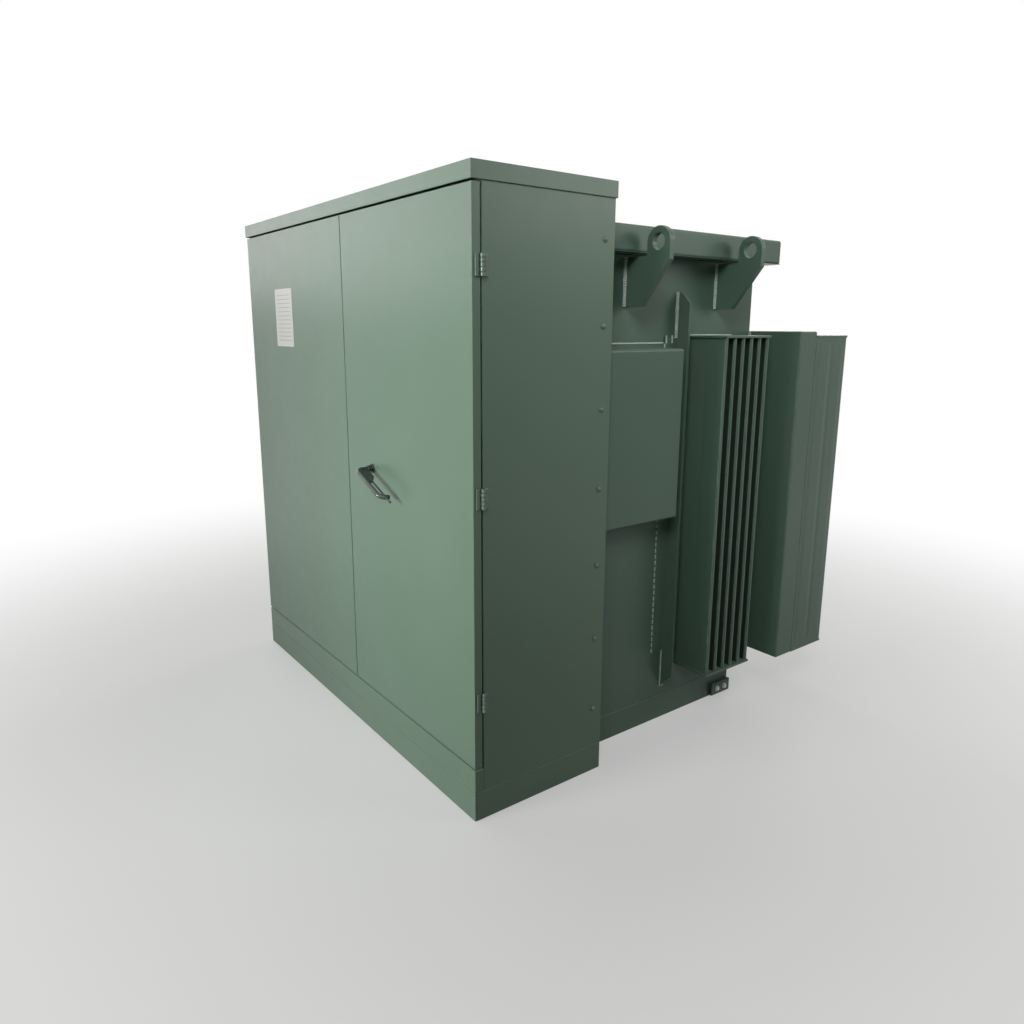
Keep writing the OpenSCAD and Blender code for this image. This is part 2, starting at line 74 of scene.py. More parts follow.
# Slot and body of every node of the frame
SLOT = {part["node"]: part["material_slot"] for part in frame["record"]["subparts"]}
BODY = {name: node["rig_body"] for name, node in frame["nodes"].items()}

# Places on the frame
DOOR_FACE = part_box("right_door")[0].y
CABINET_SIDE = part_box("right_side_panel")[1].x
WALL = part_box("tank_right_wall")[1].x
FLANGE_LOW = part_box("tank_top")[0].z - 10 * MM
RIB_THICK = 10 * MM
STRIP_THICK = 6 * MM
STRIP_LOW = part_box("right_stiffener")[0].z + 151 * MM
STRIP_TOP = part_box("right_stiffener")[1].z - 155 * MM

# Nodes by how their edges are finished
FOLDED_SHEET = (
    "sill", "skirt_front", "side_skirts", "door_header", "mount_flanges", "barrier",
)
CLOSING_SHEET = ("roof_cap", "left_side_panel", "right_side_panel")
WELDED_PLATE = ("back_plate", "base_cross_rails", "tank_floor", "tank_top")
GROOVED_PLATE = ("base_side_rails", "tank_left_wall", "tank_right_wall", "tank_rear_wall")
LIFTING_GEAR = ("left_lifting_lugs", "right_lifting_lugs", "left_stiffener", "right_stiffener")
COOLER_BARS = ("left_fin_caps", "right_fin_caps", "rear_fin_caps")
HINGE_NODES = ("left_hinges", "right_hinges", "left_door_leaves", "right_door_leaves")
HANDLE_NODES = ("handle", "handle_plate", "lock_rod")

# Fins of each cooler: the axis that they stand out along, the way along it, and how many
FINS = {"left_fins": (0, -1, 6), "right_fins": (0, 1, 6), "rear_fins": (1, 1, 44)}

# Turns past which an edge of a node is rounded, and past which an edge of a grown shape is sharp
CREASE = math.radians(30)
SHARP = math.radians(40)


def linear(hex_colour):
    """Linear RGBA of an sRGB hex colour."""
    shares = [int(hex_colour[i:i + 2], 16) / 255 for i in (1, 3, 5)]
    return tuple(c / 12.92 if c <= 0.04045 else ((c + 0.055) / 1.055) ** 2.4 for c in shares) + (1.0,)


def colour_property(name, description, hex_colour):
    """A colour that the sidebar can change."""
    return bpy.props.FloatVectorProperty(
        name=name, description=description, subtype="COLOR", size=4, min=0.0, max=1.0,
        default=linear(hex_colour))


def length_property(name, description, millimetres):
    """A length that the sidebar can change."""
    return bpy.props.FloatProperty(
        name=name, description=description, default=millimetres * MM, min=0.0, unit="LENGTH", precision=5)


def power_property(name, description, watts):
    """The power of a lamp that the sidebar can change."""
    return bpy.props.FloatProperty(
        name=name, description=description, default=watts, min=0.0, unit="POWER")


class TransformerPaint(bpy.types.PropertyGroup):
    """Colours of the finishes."""

    cabinet_green: colour_property("Cabinet", "Powder coat of the cabinet and its doors", "#637c69")
    tank_green: colour_property("Tank", "Enamel of the tank and its coolers", "#566f60")
    hinge_green: colour_property("Hinges", "Enamel of the hinges, rubbed bright", "#647a6d")
    # Lighter than the tank green: a painted highlight along the rolled fin edges
    edge_highlight_green: colour_property(
        "Fin edges", "Enamel on the rolled edges of the fins, rubbed bright", "#799384")
    # Lighter than the tank green: a painted highlight on the weld beads
    weld_highlight_green: colour_property("Welds", "Enamel over the weld beads", "#b4c0b8")
    handle_green: colour_property("Handle", "Gloss enamel of the handle", "#2a3c33")
    steel_grey: colour_property("Bare steel", "Ground pads, bolts and the latch", "#b4b5b2")
    resin_brown: colour_property("Resin", "Cast resin of the bushings", "#5b3a2b")
    tin_grey: colour_property("Tin", "Tinned copper of the terminals", "#c3c2bb")
    card_white: colour_property("Card", "Blank card on the left door", "#d3d4ce")
    rule_grey: colour_property("Card lines", "Lines ruled on the card", "#7d837f")


class TransformerSizes(bpy.types.PropertyGroup):
    """Sizes of the small features that the frame leaves plain."""

    fold_radius: length_property("Fold radius", "Outer radius of a folded sheet edge", 3.2)
    door_radius: length_property("Door edge", "Outer radius of the door and side panel edges", 1.6)
    plate_radius: length_property("Plate edge", "Rounding of a cut plate edge", 1.4)
    groove_radius: length_property("Plate groove", "Rounding where the walls stand on the base rails", 4)
    cover_radius: length_property("Cover fold", "Outer radius of the folded edge of the tank cover", 9)
    box_radius: length_property("Box edge", "Rounding of the oil box", 6)
    hinge_radius: length_property("Hinge edge", "Rounding of the hinge leaves and knuckles", 1.8)
    handle_radius: length_property("Handle edge", "Rounding of the handle and the terminals", 0.8)
    bead_radius: length_property("Weld bead", "Radius of a fillet weld bead", 7.5)
    stitch_radius: length_property("Stitch weld", "Radius of the stitch welds beside the stiffeners", 3.4)
    ripple_pitch: length_property("Weld ripple", "Distance between the ripples of a bead", 8)
    dome_radius: length_property("Dome bolt", "Radius of the dome heads on the cabinet sides", 9)
    dome_height: length_property("Dome height", "Height of the dome heads", 7)
    hex_radius: length_property("Hex bolt", "Corner radius of the hex heads on the ground pads", 8)
    seam_thickness: length_property("Fin seam", "Thickness of a fin at its welded seam", 8.4)
    channel_thickness: length_property("Fin channel", "Thickness of a fin over its oil channels", 11)
    edge_roll: length_property("Fin edge", "Radius of the rolled outer edge of a fin", 5)
    seam_width: length_property("Seam width", "Width of the welded seam round a fin", 12)
    card_width: length_property("Card width", "Width of the card on the left door", 180)
    card_height: length_property("Card height", "Height of the card on the left door", 226)


class TransformerStage(bpy.types.PropertyGroup):
    """Light and floor of the studio."""

    floor_white: colour_property("Floor", "Pale studio floor", "#e6e6e2")
    key_power: power_property("Front light", "Large soft light in front of the doors", 20.5)
    top_power: power_property("Top light", "Soft light above the object", 16.0)
    side_power: power_property("Side light", "Weak light high beside the tank", 7.5)
    sheen_power: power_property("Sheen lights", "Lights that gleam on the upper doors and sides", 46.0)
    rear_power: power_property("Rear lights", "Lights behind the object and on its left", 28.0)
    sky_strength: bpy.props.FloatProperty(
        name="Surround", description="Even light from all round", default=0.04, min=0.0)


def add(tree, kind, inputs=None, **settings):
    """Adds a node with its settings; inputs are values or sockets to link from."""
    made = tree.nodes.new(kind)
    for name, value in settings.items():
        setattr(made, name, value)
    for key, value in (inputs or {}).items():
        if isinstance(value, bpy.types.NodeSocket):
            tree.links.new(value, made.inputs[key])
        else:
            made.inputs[key].default_value = value
    return made


def new_finish(name):
    """A new material with its tree, its shader and the place on the object."""
    material = bpy.data.materials.new(name)
    material.use_nodes = True
    tree = material.node_tree
    place = add(tree, "ShaderNodeTexCoord").outputs["Object"]
    return material, tree, tree.nodes["Principled BSDF"], place


def tinted(colour, factor):
    """The colour made darker or lighter."""
    return tuple(min(1.0, c * factor) for c in colour[:3]) + (1.0,)


def painted_steel(
        name, colour, roughness, wave_mm, wave_depth_mm=2.4, gloss=0.45, dusty=True, painted_shade_share=0.0):
    """Sprayed polyester or enamel on steel: satin sheen, soft orange peel, faint dust on ledges; where a
    piece asks, painted shade deep between fins.
    """
    material, tree, shader, place = new_finish(name)
    # Tone drifts between spray passes, in patches of about 400 mm
    patch = 400 * MM
    drift = add(tree, "ShaderNodeTexNoise", {"Vector": place, "Scale": 1 / patch, "Detail": 4.0})
    tone = add(tree, "ShaderNodeMix", {
        0: drift.outputs["Fac"], 6: tinted(colour, 0.92), 7: tinted(colour, 1.08)}, data_type="RGBA")
    # Dust lies on what faces up and on the splashed foot, with an uneven edge of about 60 mm
    splash, foot_height = 60 * MM, 120 * MM
    ledge_share, foot_share = (0.34, 0.08) if dusty else (0.0, 0.0)
    speck = add(tree, "ShaderNodeTexNoise", {"Vector": place, "Scale": 1 / splash, "Detail": 6.0})
    facing = add(tree, "ShaderNodeSeparateXYZ", {0: add(tree, "ShaderNodeNewGeometry").outputs["Normal"]})
    ledge = add(tree, "ShaderNodeMapRange", {
        "Value": facing.outputs["Z"], "From Min": 0.55, "From Max": 1.0, "To Max": ledge_share})
    height = add(tree, "ShaderNodeSeparateXYZ", {0: place})
    foot = add(tree, "ShaderNodeMapRange", {
        "Value": height.outputs["Z"], "From Min": foot_height, "From Max": 0.0, "To Max": foot_share})
    fallen = add(tree, "ShaderNodeMath", {0: ledge.outputs[0], 1: foot.outputs[0]}, operation="ADD")
    dust = add(tree, "ShaderNodeMath", {
        0: fallen.outputs[0], 1: speck.outputs["Fac"]}, operation="MULTIPLY")
    coat = add(tree, "ShaderNodeMix", {
        0: dust.outputs[0], 6: tone.outputs[2], 7: linear("#a8aca2")}, data_type="RGBA")
    # Painted shade: the paint is made dark, and also dull, where a piece says that it lies deep between
    # fins, where shade falls
    dark_share, dull_share = 0.1, 0.5
    deep = add(tree, "ShaderNodeAttribute", attribute_name="deep")
    painted_shade = add(tree, "ShaderNodeMath", {0: deep.outputs["Fac"], 1: painted_shade_share}, operation="MULTIPLY")
    shaded_coat = add(tree, "ShaderNodeMix", {
        0: painted_shade.outputs[0], 6: coat.outputs[2], 7: tinted(colour, dark_share)}, data_type="RGBA")
    tree.links.new(shaded_coat.outputs[2], shader.inputs["Base Color"])
    rubbed = add(tree, "ShaderNodeMapRange", {
        "Value": speck.outputs["Fac"], "To Min": roughness - 0.05, "To Max": roughness + 0.07})
    dusted = add(tree, "ShaderNodeMath", {0: rubbed.outputs[0], 1: dust.outputs[0]}, operation="ADD")
    dull = add(tree, "ShaderNodeMath", {
        0: painted_shade.outputs[0], 1: dull_share, 2: dusted.outputs[0]}, operation="MULTIPLY_ADD")
    tree.links.new(dull.outputs[0], shader.inputs["Roughness"])
    # Thin plate is never quite flat: a slow wave; orange peel of 3 mm is drawn at 7 mm so that it shows
    peel_size, peel_depth = 7 * MM, 0.5 * MM
    wave = add(tree, "ShaderNodeTexNoise", {"Vector": place, "Scale": 1 / (wave_mm * MM), "Detail": 1.0})
    buckle = add(tree, "ShaderNodeBump", {
        "Height": wave.outputs["Fac"], "Strength": 0.5, "Distance": wave_depth_mm * MM})
    peel = add(tree, "ShaderNodeTexNoise", {"Vector": place, "Scale": 1 / peel_size, "Detail": 2.0})
    skin = add(tree, "ShaderNodeBump", {
        "Height": peel.outputs["Fac"], "Strength": 0.35, "Distance": peel_depth,
        "Normal": buckle.outputs["Normal"]})
    tree.links.new(skin.outputs["Normal"], shader.inputs["Normal"])
    shader.inputs["IOR"].default_value = 1.5
    shader.inputs["Specular IOR Level"].default_value = gloss
    return material


def brushed_steel(name, colour, roughness):
    """Bare plate, zinc or tin: fine drawn lines along the piece that stretch each highlight."""
    material, tree, shader, place = new_finish(name)
    # Lines of 0.4 mm are drawn 2 mm wide and about 33 mm long so that they show
    width, length, depth = 2 * MM, 100 / 3 * MM, 0.1 * MM
    drawn = add(tree, "ShaderNodeMapping", {"Vector": place, "Scale": (1 / width, 1 / length, 1 / width)})
    lines = add(tree, "ShaderNodeTexNoise", {"Vector": drawn.outputs[0], "Scale": 1.0, "Detail": 3.0})
    tone = add(tree, "ShaderNodeMix", {
        0: lines.outputs["Fac"], 6: tinted(colour, 0.8), 7: tinted(colour, 1.1)}, data_type="RGBA")
    tree.links.new(tone.outputs[2], shader.inputs["Base Color"])
    worn = add(tree, "ShaderNodeMapRange", {
        "Value": lines.outputs["Fac"], "To Min": roughness - 0.1, "To Max": roughness + 0.1})
    tree.links.new(worn.outputs[0], shader.inputs["Roughness"])
    grain = add(tree, "ShaderNodeBump", {
        "Height": lines.outputs["Fac"], "Strength": 0.3, "Distance": depth})
    tree.links.new(grain.outputs["Normal"], shader.inputs["Normal"])
    shader.inputs["Metallic"].default_value = 1.0
    return material


def cast_resin(name, colour):
    """Cast epoxy: a smooth moulded skin with cloudy filler under it."""
    material, tree, shader, place = new_finish(name)
    cloud_size = 30 * MM
    cloud = add(tree, "ShaderNodeTexNoise", {"Vector": place, "Scale": 1 / cloud_size, "Detail": 5.0})
    tone = add(tree, "ShaderNodeMix", {
        0: cloud.outputs["Fac"], 6: tinted(colour, 0.8), 7: tinted(colour, 1.2)}, data_type="RGBA")
    tree.links.new(tone.outputs[2], shader.inputs["Base Color"])
    skin = add(tree, "ShaderNodeMapRange", {"Value": cloud.outputs["Fac"], "To Min": 0.22, "To Max": 0.34})
    tree.links.new(skin.outputs[0], shader.inputs["Roughness"])
    shader.inputs["IOR"].default_value = 1.55
    return material


def ruled_card(name, paper, ink, low, high):
    """Laminated card: pale, slightly glossy, with plain grey lines between its margins."""
    material, tree, shader, place = new_finish(name)
    line_pitch, line_width, margin, fibre_size = 16 * MM, 1.6 * MM, 22 * MM, 12 * MM
    at = add(tree, "ShaderNodeSeparateXYZ", {0: place})
    step = add(tree, "ShaderNodeMath", {0: at.outputs["Z"], 1: line_pitch}, operation="FLOORED_MODULO")
    on_line = add(tree, "ShaderNodeMath", {0: step.outputs[0], 1: line_width}, operation="LESS_THAN")
    middle = (low + high) / 2
    reach = (high - low) / 2
    mask = on_line.outputs[0]
    for axis, centre, half in (("X", middle.x, reach.x), ("Z", middle.z, reach.z)):
        inside = add(tree, "ShaderNodeMath", {
            0: at.outputs[axis], 1: centre, 2: half - margin}, operation="COMPARE")
        mask = add(tree, "ShaderNodeMath", {0: mask, 1: inside.outputs[0]}, operation="MULTIPLY").outputs[0]
    fibre = add(tree, "ShaderNodeTexNoise", {"Vector": place, "Scale": 1 / fibre_size, "Detail": 4.0})
    sheet = add(tree, "ShaderNodeMix", {
        0: fibre.outputs["Fac"], 6: tinted(paper, 0.93), 7: paper}, data_type="RGBA")
    ruled = add(tree, "ShaderNodeMix", {0: mask, 6: sheet.outputs[2], 7: ink}, data_type="RGBA")
    tree.links.new(ruled.outputs[2], shader.inputs["Base Color"])
    shader.inputs["Roughness"].default_value = 0.38
    return material


def finish(name):
    """The finish of that name, made once."""
    if name in bpy.data.materials:
        return bpy.data.materials[name]
    paint = bpy.context.scene.transformer_paint
    tank_look = {"roughness": 0.34, "wave_mm": 300, "wave_depth_mm": 1.2, "gloss": 0.3}
    makers = {
        "polyester_powder_coat": lambda n: painted_steel(
            n, paint.cabinet_green, roughness=0.32, wave_mm=420, gloss=0.34),
        "tank_enamel": lambda n: painted_steel(n, paint.tank_green, **tank_look),
        # The fins get painted shade where they lie deep between one another
        "fin_enamel": lambda n: painted_steel(n, paint.tank_green, painted_shade_share=0.95, **tank_look),
        "hinge_enamel": lambda n: painted_steel(
            n, paint.hinge_green, roughness=0.22, wave_mm=60, dusty=False),
        "edge_enamel": lambda n: painted_steel(
            n, paint.edge_highlight_green, roughness=0.26, wave_mm=60, dusty=False),
        "weld_enamel": lambda n: painted_steel(n, paint.weld_highlight_green, roughness=0.2, wave_mm=40),
        "gloss_enamel": lambda n: painted_steel(
            n, paint.handle_green, roughness=0.2, wave_mm=60, gloss=0.9, dusty=False),
        "bare_steel": lambda n: brushed_steel(n, paint.steel_grey, roughness=0.34),
        "tinned_copper": lambda n: brushed_steel(n, paint.tin_grey, roughness=0.3),
        "cast_epoxy": lambda n: cast_resin(n, paint.resin_brown),
    }
    return makers[name](name)


SLOT_FINISH = {
    "cabinet_paint": "polyester_powder_coat", "tank_paint": "tank_enamel", "handle_paint": "gloss_enamel",
    "bare_steel": "bare_steel", "epoxy": "cast_epoxy", "tinned_copper": "tinned_copper",
}


def new_piece(name, mesh):
    """An object for a mesh, at the origin."""
    piece = bpy.data.objects.new(name, mesh)
    bpy.context.scene.collection.objects.link(piece)
    return piece


def frozen(piece):
    """The piece with its modifiers turned into plain mesh."""
    bpy.context.view_layer.update()
    evaluated = piece.evaluated_get(bpy.context.evaluated_depsgraph_get())
    mesh = bpy.data.meshes.new_from_object(evaluated)
    piece.modifiers.clear()
    piece.data = mesh
    mesh.name = piece.name
    return piece


def reach_from(edge, face):
    """How far a face reaches away from one of its edges."""
    start = edge.verts[0].co
    along = (edge.verts[1].co - start).normalized()
    return max((corner.co - start).cross(along).length for corner in face.verts)


def eased_node(node, radius, steps=2):
    """A copy of a CAD node whose outer edges are rounded, more where both faces are broad."""
    mesh = frame["nodes"][node].data.copy()
    shape = bmesh.new()
    shape.from_mesh(mesh)
    bmesh.ops.remove_doubles(shape, verts=shape.verts, dist=0.01 * MM)
    bmesh.ops.dissolve_limit(shape, angle_limit=math.radians(1), verts=shape.verts, edges=shape.edges)
    weight = shape.edges.layers.float.new("bevel_weight_edge")
    room_share = 0.4
    for face in shape.faces:
        face.smooth = True
    for edge in shape.edges:
        if len(edge.link_faces) == 2 and edge.calc_face_angle_signed() > CREASE:
            room = room_share * min(reach_from(edge, face) for face in edge.link_faces)
            edge[weight] = min(1.0, room / radius)
        else:
            edge.smooth = edge.calc_face_angle(0.0) < CREASE
    shape.to_mesh(mesh)
    shape.free()
    piece = new_piece(node + "_finished", mesh)
    bevel = piece.modifiers.new("eased", "BEVEL")
    bevel.limit_method = "WEIGHT"
    bevel.width = radius
    bevel.segments = steps
    bevel.use_clamp_overlap = False
    # Broad faces stay flat to the eye, and only the rounded edges turn the light
    flat = piece.modifiers.new("flat", "WEIGHTED_NORMAL")
    flat.weight = 100
    flat.keep_sharp = True
    return frozen(piece)


def dress(nodes, radius, steps=2, coat=None):
    """Rounds the edges of CAD nodes and gives each a coat, or the finish of its slot."""
    for node in nodes:
        piece = eased_node(node, radius, steps)
        piece.data.materials.clear()
        piece.data.materials.append(finish(coat or SLOT_FINISH[SLOT[node]]))
        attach(piece, BODY[node])
        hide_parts(node)


def new_tree(name, sizes):
    """A Geometry Nodes tree with named sizes, and the sockets of its inputs."""
    tree = bpy.data.node_groups.new(name, "GeometryNodeTree")
    tree.interface.new_socket("Geometry", in_out="INPUT", socket_type="NodeSocketGeometry")
    for size in sizes:
        tree.interface.new_socket(size, in_out="INPUT", socket_type="NodeSocketFloat")
    tree.interface.new_socket("Geometry", in_out="OUTPUT", socket_type="NodeSocketGeometry")
    return tree, add(tree, "NodeGroupInput").outputs


def end_tree(tree, geometry, material=None):
    """Ends a tree in plain mesh, with one finish unless its shapes already have theirs."""
    smooth = add(tree, "GeometryNodeSetShadeSmooth", {"Geometry": geometry})
    ended = add(tree, "GeometryNodeRealizeInstances", {"Geometry": smooth.outputs[0]})
    if material:
        ended = add(tree, "GeometryNodeSetMaterial", {"Geometry": ended.outputs[0], "Material": material})
    add(tree, "NodeGroupOutput", {0: ended.outputs[0]})


def grow(name, mesh, tree, sizes, body):
    """Runs a tree on a mesh of points or lines, and lets the result ride on a body."""
    piece = new_piece(name, mesh)
    modifier = piece.modifiers.new("grown", "NODES")
    modifier.node_group = tree
    for item in tree.interface.items_tree:
        if item.name in sizes:
            modifier[item.identifier] = sizes[item.name]
    frozen(piece)
    piece.data.set_sharp_from_angle(angle=SHARP)
    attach(piece, body)
    return piece


def point_mesh(name, places):
    """Points that each face a way: places are pairs of position and direction."""
    mesh = bpy.data.meshes.new(name)
    mesh.from_pydata([place for place, _ in places], [], [])
    facing = mesh.attributes.new("facing", "FLOAT_VECTOR", "POINT")
    for item, (_, way) in zip(facing.data, places):
        item.vector = way
    return mesh


def line_mesh(name, lines):
    """Straight lines, each from one point to another."""
    mesh = bpy.data.meshes.new(name)
    points = [point for line in lines for point in line]
    mesh.from_pydata(points, [(i, i + 1) for i in range(0, len(points), 2)], [])
    return mesh


def on_points(tree, given, instance, axis):
    """Puts a shape on every point, with its axis along the point's facing."""
    facing = add(tree, "GeometryNodeInputNamedAttribute", {"Name": "facing"}, data_type="FLOAT_VECTOR")
    turn = add(tree, "FunctionNodeAlignRotationToVector", {"Vector": facing.outputs[0]}, axis=axis)
    placed = add(tree, "GeometryNodeInstanceOnPoints", {
        "Points": given["Geometry"], "Instance": instance, "Rotation": turn.outputs[0]})
    return placed.outputs[0]


def weld_tree(material):
    """Fillet bead along lines: a tube whose girth ripples and wanders."""
    tree, given = new_tree("weld_bead", ("Bead radius", "Ripple pitch", "Ripple depth", "Step"))
    path = add(tree, "GeometryNodeMeshToCurve", {"Mesh": given["Geometry"]})
    fine = add(tree, "GeometryNodeResampleCurve", {
        "Curve": path.outputs[0], "Length": given["Step"]}, mode="LENGTH")
    along = add(tree, "GeometryNodeSplineParameter")
    turns = add(tree, "ShaderNodeMath", {
        0: along.outputs["Length"], 1: given["Ripple pitch"]}, operation="DIVIDE")
    angle = add(tree, "ShaderNodeMath", {0: turns.outputs[0], 1: math.tau}, operation="MULTIPLY")
    ripple = add(tree, "ShaderNodeMath", {0: angle.outputs[0]}, operation="SINE")
    # Hand welding swells and thins every 30 mm or so
    run, least_share, swell_share = 30 * MM, 0.7, 0.6
    hand = add(tree, "ShaderNodeTexNoise", {"Scale": 1 / run, "Detail": 2.0})
    girth = add(tree, "ShaderNodeMath", {
        0: ripple.outputs[0], 1: given["Ripple depth"], 2: least_share}, operation="MULTIPLY_ADD")
    uneven = add(tree, "ShaderNodeMath", {
        0: hand.outputs["Fac"], 1: swell_share, 2: girth.outputs[0]}, operation="MULTIPLY_ADD")
    size = add(tree, "ShaderNodeMath", {
        0: uneven.outputs[0], 1: given["Bead radius"]}, operation="MULTIPLY")
    ring = add(tree, "GeometryNodeCurvePrimitiveCircle", {"Resolution": 8, "Radius": 1.0})
    bead = add(tree, "GeometryNodeCurveToMesh", {
        "Curve": fine.outputs[0], "Profile Curve": ring.outputs[0], "Scale": size.outputs[0],
        "Fill Caps": True})
    end_tree(tree, bead.outputs[0], material)
    return tree


def dome_tree(material):
    """Dome bolt heads on a thin washer."""
    tree, given = new_tree("dome_bolts", ("Head radius", "Head height"))
    washer_share, washer_thick = 1.25, 2.4 * MM
    ball = add(tree, "GeometryNodeMeshUVSphere", {"Segments": 20, "Rings": 10, "Radius": 1.0})
    size = add(tree, "ShaderNodeCombineXYZ", {
        0: given["Head radius"], 1: given["Head radius"], 2: given["Head height"]})
    head = add(tree, "GeometryNodeTransform", {"Geometry": ball.outputs[0], "Scale": size.outputs[0]})
    at = add(tree, "GeometryNodeInputPosition")
    low = add(tree, "ShaderNodeVectorMath", {0: at.outputs[0], 1: (-1.0, -1.0, 0.0)}, operation="MAXIMUM")
    cut = add(tree, "GeometryNodeSetPosition", {"Geometry": head.outputs[0], "Position": low.outputs[0]})
    wide = add(tree, "ShaderNodeMath", {0: given["Head radius"], 1: washer_share}, operation="MULTIPLY")
    washer = add(tree, "GeometryNodeMeshCylinder", {
        "Vertices": 24, "Radius": wide.outputs[0], "Depth": washer_thick})
    both = add(tree, "GeometryNodeJoinGeometry")
    tree.links.new(cut.outputs[0], both.inputs[0])
    tree.links.new(washer.outputs[0], both.inputs[0])
    end_tree(tree, on_points(tree, given, both.outputs[0], "Z"), material)
    return tree


def hex_tree(material):
    """Hex bolt heads on a washer, with a chamfered crown."""
    tree, given = new_tree("hex_bolts", ("Head radius",))
    head = given["Head radius"]
    both = add(tree, "GeometryNodeJoinGeometry")
    # Shares of the head radius: radius, thickness and height of the middle, then the number of sides
    for *shares, sides in ((1.0, 0.7, 0.55, 6), (0.82, 0.16, 0.95, 24), (1.35, 0.22, 0.11, 28)):
        radius, depth, lift = [
            add(tree, "ShaderNodeMath", {0: head, 1: share}, operation="MULTIPLY").outputs[0]
            for share in shares]
        disc = add(tree, "GeometryNodeMeshCylinder", {"Vertices": sides, "Radius": radius, "Depth": depth})
        raised = add(tree, "GeometryNodeTransform", {
            "Geometry": disc.outputs[0],
            "Translation": add(tree, "ShaderNodeCombineXYZ", {2: lift}).outputs[0]})
        tree.links.new(raised.outputs[0], both.inputs[0])
    end_tree(tree, on_points(tree, given, both.outputs[0], "Z"), material)
    return tree


def fin_tree(material, edge_material):
    """Pressed cooler fins: two sheets seamed round the edge, swelling softly over upright oil channels."""
    tree, given = new_tree("pressed_fins", (
        "Width", "Height", "Seam thickness", "Channel thickness", "Seam width", "Channels", "End gap",
        "Edge roll"))
    crowding, blend, flank_low, flank_high = 2.2, 18 * MM, 2 * MM, 15 * MM
    size = add(tree, "ShaderNodeCombineXYZ", {0: given["Width"], 1: 2.0, 2: given["Height"]})
    slab = add(tree, "GeometryNodeMeshCube", {
        "Size": size.outputs[0], "Vertices X": 31, "Vertices Y": 2, "Vertices Z": 28})
    at = add(tree, "ShaderNodeSeparateXYZ", {0: add(tree, "GeometryNodeInputPosition").outputs[0]})
    known = {socket.name: socket for socket in [*given, *at.outputs] if socket.name}
    # Each sum: its name, its operation, and the numbers or the names of sizes and earlier sums in it
    for name, operation, *terms in (
            ("half height", "MULTIPLY", "Height", 0.5),
            # Rows crowd towards the two ends, where the channels close
            ("up", "ABSOLUTE", "Z"),
            ("level", "DIVIDE", "up", "half height"),
            ("from end", "SUBTRACT", 1.0, "level"),
            ("thinned", "POWER", "from end", crowding),
            ("crowded", "SUBTRACT", 1.0, "thinned"),
            ("rise", "MULTIPLY", "crowded", "half height"),
            ("half", "SIGN", "Z"),
            ("upright", "MULTIPLY", "half", "rise"),
            ("lift", "ADD", "upright", "half height"),
            ("half width", "MULTIPLY", "Width", 0.5),
            ("out", "ADD", "X", "half width"),
            # Channels share what the two seams leave of the width
            ("both seams", "MULTIPLY", "Seam width", 2.0),
            ("span", "SUBTRACT", "Width", "both seams"),
            ("past seam", "SUBTRACT", "out", "Seam width"),
            ("share", "DIVIDE", "past seam", "span"),
            ("not before", "MAXIMUM", "share", 0.0),
            ("within", "MINIMUM", "not before", 1.0),
            ("turns", "MULTIPLY", "within", "Channels"),
            ("count", "FRACT", "turns"),
            ("count back", "SUBTRACT", 1.0, "count"),
            ("nearest", "MINIMUM", "count", "count back"),
            ("pitch", "DIVIDE", "span", "Channels"),
            ("flank", "MULTIPLY", "nearest", "pitch"),
            ("to end", "SUBTRACT", "half height", "rise"),
            ("closing", "SUBTRACT", "to end", "End gap"),
            ("depth", "SMOOTH_MIN", "flank", "closing", blend),
            ("half seam", "MULTIPLY", "Seam thickness", 0.5),
            ("half channel", "MULTIPLY", "Channel thickness", 0.5),
            ("roll middle", "SUBTRACT", "Width", "Edge roll")):
        inputs = {i: known.get(term, term) for i, term in enumerate(terms)}
        known[name] = add(tree, "ShaderNodeMath", inputs, operation=operation).outputs[0]
    swell = add(tree, "ShaderNodeMapRange", {
        "Value": known["depth"], "From Min": flank_low, "From Max": flank_high,
        "To Min": known["half seam"], "To Max": known["half channel"]}, interpolation_type="SMOOTHSTEP")
    face = add(tree, "ShaderNodeMath", {0: known["Y"], 1: swell.outputs[0]}, operation="MULTIPLY")
    moved = add(tree, "ShaderNodeCombineXYZ", {0: known["out"], 1: face.outputs[0], 2: known["lift"]})
    fin = add(tree, "GeometryNodeSetPosition", {"Geometry": slab.outputs[0], "Position": moved.outputs[0]})
    # The outer seam is rolled over, which draws a bright line down every fin; its lighter coat is a painted
    # highlight
    roll = add(tree, "GeometryNodeMeshCylinder", {
        "Vertices": 12, "Radius": given["Edge roll"], "Depth": given["Height"]})
    edge = add(tree, "ShaderNodeCombineXYZ", {0: known["roll middle"], 2: known["half height"]})
    rolled = add(tree, "GeometryNodeTransform", {
        "Geometry": roll.outputs[0], "Translation": edge.outputs[0]})
    both = add(tree, "GeometryNodeJoinGeometry")
    for shape, coat in ((fin, material), (rolled, edge_material)):
        coated = add(tree, "GeometryNodeSetMaterial", {"Geometry": shape.outputs[0], "Material": coat})
        tree.links.new(coated.outputs[0], both.inputs[0])
    end_tree(tree, on_points(tree, given, both.outputs[0], "X"))
    return tree


def sizes():
    """The sizes of the small features."""
    return bpy.context.scene.transformer_sizes


class TRANSFORMER_OT_cabinet(bpy.types.Operator):
    """Finishes the folded sheet of the cabinet"""

    bl_idname = "transformer.cabinet"
    bl_label = "Cabinet"

    def execute(self, context):
        dress(FOLDED_SHEET, sizes().fold_radius)
        dress(CLOSING_SHEET, sizes().door_radius)
        return {"FINISHED"}


class TRANSFORMER_OT_doors(bpy.types.Operator):
    """Finishes the doors and their hinges"""

    bl_idname = "transformer.doors"
    bl_label = "Doors"

    def execute(self, context):
        dress(("left_door", "right_door"), sizes().door_radius, steps=3)
        dress(HINGE_NODES, sizes().hinge_radius, coat="hinge_enamel")
        return {"FINISHED"}


